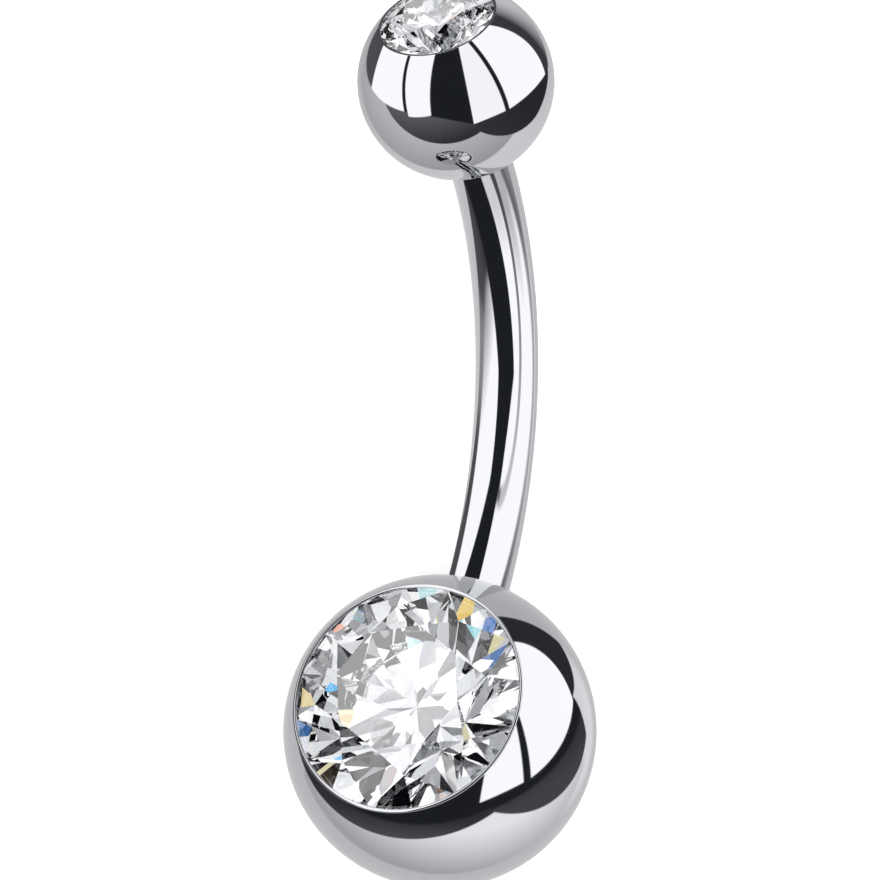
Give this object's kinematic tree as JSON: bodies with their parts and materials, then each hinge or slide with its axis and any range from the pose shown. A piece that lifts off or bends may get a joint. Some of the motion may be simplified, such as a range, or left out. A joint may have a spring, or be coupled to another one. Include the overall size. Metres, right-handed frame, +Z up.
{
  "type": "navel ring",
  "caption": "Curved steel navel bar with a large and a small polished ball on its ends, each set with a round clear stone; the small ball closes it.",
  "frame": {"origin": "on the surface that the ring lies on, under the middle of its bounding box", "axes": "+Z up from the surface, +Y from the large ball to the small ball; the bend of the bar leans to +X"},
  "size_m": [0.008, 0.023, 0.008],
  "materials": {
    "steel": "mirror-polished surgical steel",
    "crystal": "cut and polished clear crystal"
  },
  "bodies": {
    "root": {"curved_bar": "steel", "large_ball": "steel", "large_stone": "crystal", "small_ball": "steel", "small_stone": "crystal"}
  },
  "joints": []
}
